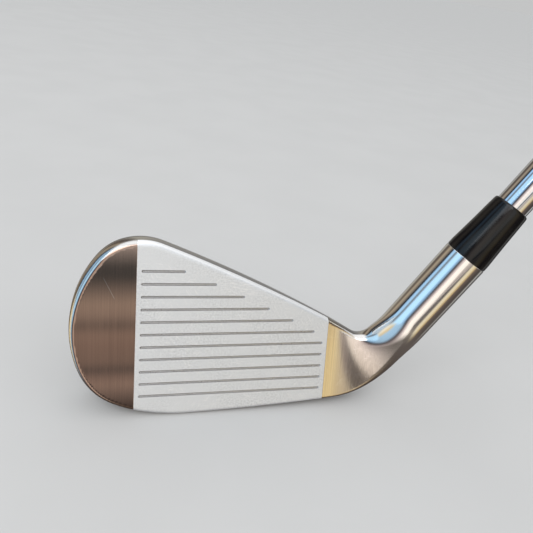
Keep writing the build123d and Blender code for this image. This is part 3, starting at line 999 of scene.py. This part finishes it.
BADGE_STEP = -5.0           # n halfway between the badge's sunk middle and its border
BADGE_BORDER = (0.62, 0.61, 0.6, 1.0)
BADGE_DULL = (0.5, 0.49, 0.48, 1.0)
BADGE_MIDDLE = (0.045, 0.048, 0.055, 1.0)
BADGE_RIB = (0.11, 0.115, 0.125, 1.0)
RIB_HALF_PITCH = 0.7
CHROME = (0.79, 0.80, 0.82, 1.0)
DULL_CHROME = (0.73, 0.74, 0.76, 1.0)
BLACK_PLASTIC = (0.003, 0.003, 0.004, 1.0)
SMEARED_PLASTIC = (0.010, 0.009, 0.008, 1.0)
RUBBER = (0.010, 0.010, 0.011, 1.0)
WORN_RUBBER = (0.020, 0.020, 0.021, 1.0)
RUBBER_DUST = (0.035, 0.035, 0.036, 1.0)
FILM = (0.045, 0.048, 0.055, 1.0)
FILM_FIBRE = (0.06, 0.063, 0.07, 1.0)
FILM_RING = (0.62, 0.63, 0.64, 1.0)
FILM_RING_INSET = (3.0, 5.0)      # distances from the film's ends between which a ring lies


def badge_metal():
    """Brushed border and a darker, finely ribbed middle."""
    nodes = Nodes("badge_metal", 1.0)
    face = nodes.place(FACE_SHIFT, FACE_TURN)
    x, v, n = nodes.split(face)
    middle = nodes.ramp(n, BADGE_STEP - 0.06, BADGE_STEP + 0.06)
    lines = nodes.streaks(face, (0.08, 3.0, 1.0))
    ribs = nodes.math("PINGPONG", nodes.math("ADD", x, v), RIB_HALF_PITCH)
    ribs = nodes.times(nodes.ramp(ribs, 0.1, 0.6), middle)
    border_tone = nodes.toned(lines, BADGE_BORDER, BADGE_DULL)
    middle_tone = nodes.blend(ribs, BADGE_MIDDLE, BADGE_RIB)
    nodes.feed(Base_Color=nodes.blend(middle, border_tone, middle_tone),
               Roughness=nodes.blend(middle, nodes.ramp(lines, 0.3, 0.7, 0.22, 0.34), grey(0.38)),
               Normal=nodes.bump(ribs, 0.12, nodes.bump(lines, 0.01)))
    return nodes.material


def chrome():
    """Plated steel with faint polishing lines round it and dull specks."""
    nodes = Nodes("chrome_plate", 1.0)
    own = nodes.place()
    polish = nodes.noise(nodes.stretch(own, (0.2, 0.2, 5.0)), 1.0, 2.0)
    specks = nodes.noise(own, 1.6, 3.0)
    nodes.feed(Base_Color=nodes.blend(nodes.ramp(polish, 0.3, 0.7), CHROME, DULL_CHROME),
               Roughness=nodes.ramp(specks, 0.5, 0.75, 0.05, 0.12),
               Normal=nodes.bump(polish, 0.003))
    return nodes.material


def glossy_black():
    """Turned and polished plastic."""
    nodes = Nodes("ferrule_plastic", 0.0)
    nodes.shader.inputs["Specular IOR Level"].default_value = 0.3
    own = nodes.place()
    turning = nodes.noise(nodes.stretch(own, (0.1, 0.1, 4.0)), 1.0, 3.0)
    smears = nodes.noise(nodes.stretch(own, (0.5, 0.5, 0.12)), 1.0, 3.0)
    nodes.feed(Base_Color=nodes.blend(nodes.ramp(smears, 0.35, 0.7), BLACK_PLASTIC, SMEARED_PLASTIC),
               Roughness=nodes.ramp(smears, 0.35, 0.7, 0.08, 0.2),
               Normal=nodes.bump(turning, 0.004))
    return nodes.material


def rubber():
    """Black rubber with a fine pebble, greyer where it is worn."""
    nodes = Nodes("grip_rubber", 0.0)
    own = nodes.place()
    pebble = nodes.noise(own, 2.6, 3.0, 0.6)
    wear = nodes.noise(own, 0.05, 3.0)
    tone = nodes.toned(wear, RUBBER, WORN_RUBBER)
    nodes.feed(Base_Color=nodes.blend(nodes.ramp(pebble, 0.55, 0.75), tone, RUBBER_DUST),
               Roughness=nodes.ramp(wear, 0.3, 0.7, 0.5, 0.66),
               Normal=nodes.bump(pebble, 0.06))
    return nodes.material


def band_film():
    """Printed film with two plain rings near its ends."""
    nodes = Nodes("band_film", 0.0)
    own = nodes.place()
    height = nodes.split(own)[2]
    low, high = BAND_HEIGHTS
    near, far = FILM_RING_INSET
    rings = nodes.most(nodes.band(height, low + near, low + far, 0.05),
                       nodes.band(height, high - far, high - near, 0.05))
    fibre = nodes.noise(own, 1.2, 3.0)
    tone = nodes.blend(nodes.ramp(fibre, 0.3, 0.7), FILM, FILM_FIBRE)
    nodes.feed(Base_Color=nodes.blend(rings, tone, FILM_RING),
               Roughness=nodes.ramp(fibre, 0.3, 0.7, 0.26, 0.36), Normal=nodes.bump(fibre, 0.006))
    return nodes.material


def speckled(name, light, dark, grain_scale, depth, metallic=0.0, rough=(0.4, 0.55)):
    """A plain material whose grain shows in its colour, roughness and surface."""
    nodes = Nodes(name, metallic)
    grain = nodes.noise(nodes.place(), grain_scale, 3.0, 0.6)
    nodes.feed(Base_Color=nodes.toned(grain, light, dark),
               Roughness=nodes.ramp(grain, 0.3, 0.7, *rough), Normal=nodes.bump(grain, depth))
    return nodes.material


# --- the pieces ---

# Painted shade: the scorelines' walls and bottom are darker steel, standing in for the shade inside the
# grooves.
groove_painted_shade = speckled("scoreline_painted_shade", (0.54, 0.54, 0.55, 1.0), (0.42, 0.42, 0.43, 1.0), 2.5, 0.01,
                        0.75, (0.26, 0.36))
make_head(head_steel(), groove_painted_shade)
lathe("ferrule_ring", FERRULE_PROFILE, glossy_black(), "ferrule")
lathe("stepped_shaft", shaft_profile(), chrome(), "shaft")
lathe("plain_label_band", BAND_PROFILE, band_film(), "shaft_band")
grip_material = rubber()
make_grip(grip_material)
lathe("grip_end_cap", CAP_PROFILE, grip_material, "grip_cap")

CARRIED_OVER = {
    "cavity_badge": badge_metal(),
    "badge_adhesive": speckled("badge_adhesive", (0.55, 0.54, 0.5, 1.0), (0.45, 0.44, 0.4, 1.0), 1.5, 0.02),
    "hosel_epoxy": speckled("hosel_epoxy", (0.5, 0.43, 0.3, 1.0), (0.4, 0.33, 0.22, 1.0), 0.9, 0.03),
    "tip_weight": speckled("tip_weight_brass", (0.78, 0.57, 0.25, 1.0), (0.68, 0.48, 0.2, 1.0), 2.0, 0.01,
                           1.0, (0.2, 0.32)),
    "tip_plug": speckled("tip_plug_cork", (0.5, 0.34, 0.2, 1.0), (0.3, 0.19, 0.1, 1.0), 0.8, 0.15,
                         0.0, (0.8, 0.9)),
    "grip_tape": speckled("grip_tape_paper", (0.68, 0.62, 0.48, 1.0), (0.6, 0.54, 0.41, 1.0), 0.7, 0.05,
                          0.0, (0.6, 0.75)),
}
for node, material in CARRIED_OVER.items():
    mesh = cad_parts[node].data
    mesh.materials.clear()
    mesh.materials.append(material)
    mesh.polygons.foreach_set("material_index", [0] * len(mesh.polygons))


# --- floor, light, surroundings and camera ---

FLOOR_HALF = 60.0           # metres
FLOOR_LIGHT = (0.60, 0.60, 0.595, 1.0)
FLOOR_DARK = (0.585, 0.585, 0.58, 1.0)
KEY_AZIMUTH = -35.0         # degrees round from straight in front of the face, + towards the heel
KEY_ELEVATION = 50.0
KEY_DISTANCE = 1.6          # metres, as its size
KEY_SIZE = (1.2, 0.8)
KEY_POWER = 7.0
KEY_COLOUR = (0.97, 0.98, 1.0)
# Panels that only reflections see: degrees round as for the key light, and the colour there.
PANELS = [(-180.0, (0.45, 0.43, 0.38)), (-170.0, (0.12, 0.10, 0.09)), (-158.0, (0.14, 0.11, 0.09)),
          (-145.0, (0.46, 0.38, 0.28)), (-133.0, (0.26, 0.22, 0.18)), (-124.0, (0.01, 0.01, 0.015)),
          (-119.0, (0.05, 0.06, 0.08)), (-113.0, (0.45, 0.75, 1.1)), (-103.0, (0.45, 0.72, 1.0)),
          (-97.0, (0.18, 0.20, 0.23)), (-92.0, (0.25, 0.30, 0.36)), (-84.0, (0.62, 0.98, 1.3)),
          (-64.0, (0.62, 1.0, 1.35)), (-54.0, (0.30, 0.50, 0.75)), (-47.0, (0.07, 0.07, 0.08)),
          (-42.0, (0.14, 0.12, 0.12)), (-37.0, (0.55, 0.46, 0.46)), (-26.0, (1.35, 1.2, 1.1)),
          (-12.0, (1.15, 1.06, 0.95)), (8.0, (0.85, 0.76, 0.58)), (22.0, (0.88, 0.74, 0.48)),
          (29.0, (0.62, 0.46, 0.24)), (36.0, (0.16, 0.12, 0.10)), (62.0, (0.07, 0.06, 0.055)),
          (76.0, (0.10, 0.09, 0.08)), (86.0, (0.75, 0.75, 0.72)), (96.0, (0.10, 0.10, 0.10)),
          (150.0, (0.3, 0.3, 0.3)), (180.0, (0.45, 0.43, 0.38))]
# The same lower down, where the toe's side has panels of its own.
LOW_LEFT = [(-180.0, (0.45, 0.43, 0.38)), (-150.0, (0.30, 0.24, 0.18)), (-125.0, (0.10, 0.08, 0.06)),
            (-112.0, (0.95, 0.75, 0.38)), (-92.0, (1.15, 1.05, 0.85)), (-80.0, (0.85, 0.66, 0.36)),
            (-72.0, (0.45, 0.68, 0.9)), (-54.0, (0.4, 0.6, 0.8)), (-46.0, (0.12, 0.11, 0.12))]
LOW_PANELS = LOW_LEFT + [stop for stop in PANELS if stop[0] > LOW_LEFT[-1][0]]
LOW_RISE = (-8.0, 3.0)      # elevations over which they give way to the upper ones
# Straight in front, the bands that the toe mirrors: degrees of elevation, and the colour there.
FRONT_PANEL = [(-30.0, (0.35, 0.3, 0.25)), (-7.0, (0.12, 0.11, 0.11)), (-5.8, (0.4, 0.36, 0.34)),
               (-4.7, (0.72, 0.62, 0.56)), (-4.0, (0.55, 0.47, 0.43)), (-3.3, (0.24, 0.23, 0.23)),
               (-2.6, (0.5, 0.43, 0.39)), (-0.9, (0.56, 0.47, 0.42)), (0.1, (0.64, 0.54, 0.48)),
               (1.0, (0.36, 0.33, 0.31)), (2.0, (0.7, 0.62, 0.56)), (3.1, (0.78, 0.7, 0.62)),
               (4.5, (0.42, 0.4, 0.38)), (5.7, (0.15, 0.17, 0.18)), (6.8, (0.15, 0.17, 0.18)),
               (8.2, (0.55, 0.57, 0.58)), (9.2, (1.2, 1.2, 1.2)), (30.0, (1.1, 1.1, 1.1))]
FRONT_HALF = (7.0, 12.0)    # azimuths over which it gives way to the panels
CEILING = (1.3, 1.34, 1.4, 1.0)
CEILING_RISE = (44.0, 62.0)      # elevations over which it comes in
GROUND = (0.12, 0.10, 0.09, 1.0)
GROUND_DROP = (-24.0, -50.0)
SOFT_LIGHT = (0.92, 0.93, 0.94, 1.0)       # what matt surfaces are lit by, the same from all round
BACKDROP = (0.55, 0.555, 0.555, 1.0)
LENS = 37.82                # millimetres
SENSOR = 36.0
CLIP_START = 0.005          # metres
CAMERA_SPOT = (-37.75, -128.13, 116.93)    # millimetres
CAMERA_LOOK = (0.2838, 0.8387, -0.4649)
CAMERA_UP = (-0.0131, 0.4881, 0.8727)


def make_floor():
    """A wide matt floor, which polished metal doesn't mirror."""
    nodes = Nodes("pale_floor", 0.0, 0.9)
    nodes.shader.inputs["Specular IOR Level"].default_value = 0.0
    grain = nodes.noise(nodes.place(), 0.02, 3.0)
    nodes.feed(Base_Color=nodes.blend(nodes.ramp(grain, 0.3, 0.7), FLOOR_LIGHT, FLOOR_DARK))
    mesh = bpy.data.meshes.new("floor")
    corners = [(FLOOR_HALF * a, FLOOR_HALF * b, 0.0) for a, b in ((-1, -1), (1, -1), (1, 1), (-1, 1))]
    mesh.from_pydata(corners, [], [(0, 1, 2, 3)])
    floor = bpy.data.objects.new("floor", mesh)
    bpy.context.scene.collection.objects.link(floor)
    mesh.materials.append(nodes.material)
    floor.visible_glossy = False


def make_key_light():
    """A soft light that faces the head, placed by its direction."""
    turn, rise = math.radians(KEY_AZIMUTH), math.radians(KEY_ELEVATION)
    away = Vector((math.sin(turn) * math.cos(rise), -math.cos(turn) * math.cos(rise), math.sin(rise)))
    data = bpy.data.lights.new("key", "AREA")
    data.shape = "RECTANGLE"
    data.size, data.size_y = KEY_SIZE
    data.energy = KEY_POWER
    data.color = KEY_COLOUR
    light = bpy.data.objects.new("key", data)
    bpy.context.scene.collection.objects.link(light)
    light.location = away * KEY_DISTANCE
    light.rotation_euler = away.to_track_quat("Z", "Y").to_euler()
    light.visible_camera = False


def make_world():
    """Plain pale surroundings to the camera; polished metal mirrors soft panels round the head."""
    world = bpy.data.worlds.new("studio")
    bpy.context.scene.world = world
    world.use_nodes = True
    tree = world.node_tree

    def add(kind, *values, **settings):
        return add_node(tree, kind, dict(enumerate(values)), **settings)

    def reckon(operation, first, second=0.0):
        return add("Math", first, second, operation=operation)

    def fade(value, limits, start=0.0, end=1.0):
        return add("MapRange", value, *limits, start, end, interpolation_type="SMOOTHSTEP")

    def panels(angle, stops):
        low, high = stops[0][0], stops[-1][0]
        colours = add("ValToRGB", add("MapRange", angle, low, high, 0.0, 1.0))
        marks = colours.node.color_ramp.elements
        places = [(degrees - low) / (high - low) for degrees, _ in stops]
        marks[0].position, marks[1].position = places[0], places[-1]
        for place in places[1:-1]:
            marks.new(place)
        for mark, (_, colour) in zip(marks, stops):
            mark.color = (*colour, 1.0)
        return colours

    x, y, z = add("SeparateXYZ", add("TexCoord", result="Generated")).node.outputs
    azimuth = reckon("DEGREES", reckon("ARCTAN2", x, reckon("MULTIPLY", y, -1.0)))
    elevation = reckon("DEGREES", reckon("ARCSINE", z))
    round_about = add("MixRGB", fade(elevation, LOW_RISE), panels(azimuth, LOW_PANELS),
                      panels(azimuth, PANELS))
    in_front = fade(reckon("ABSOLUTE", azimuth), FRONT_HALF, 1.0, 0.0)
    mirrored = add("MixRGB", in_front, round_about, panels(elevation, FRONT_PANEL))
    mirrored = add("MixRGB", fade(elevation, CEILING_RISE), mirrored, CEILING)
    mirrored = add("MixRGB", fade(elevation, GROUND_DROP), mirrored, GROUND)
    lit = add("MixRGB", add("LightPath", result="Is Diffuse Ray"), mirrored, SOFT_LIGHT)
    shown = add("MixRGB", add("LightPath", result="Is Camera Ray"), lit, BACKDROP)
    tree.links.new(shown, tree.nodes["Background"].inputs[0])


def make_camera():
    """Close above the face, towards the toe."""
    data = bpy.data.cameras.new("camera")
    data.lens = LENS
    data.sensor_width = SENSOR
    data.clip_start = CLIP_START
    camera = bpy.data.objects.new("camera", data)
    bpy.context.scene.collection.objects.link(camera)
    bpy.context.scene.camera = camera
    look, up = Vector(CAMERA_LOOK), Vector(CAMERA_UP)
    turn = Matrix((look.cross(up), up, -look)).transposed().to_4x4()
    camera.matrix_world = Matrix.Translation(Vector(CAMERA_SPOT) * MM) @ turn


bpy.context.scene.view_settings.view_transform = "Standard"
make_camera()
make_floor()
make_world()
make_key_light()
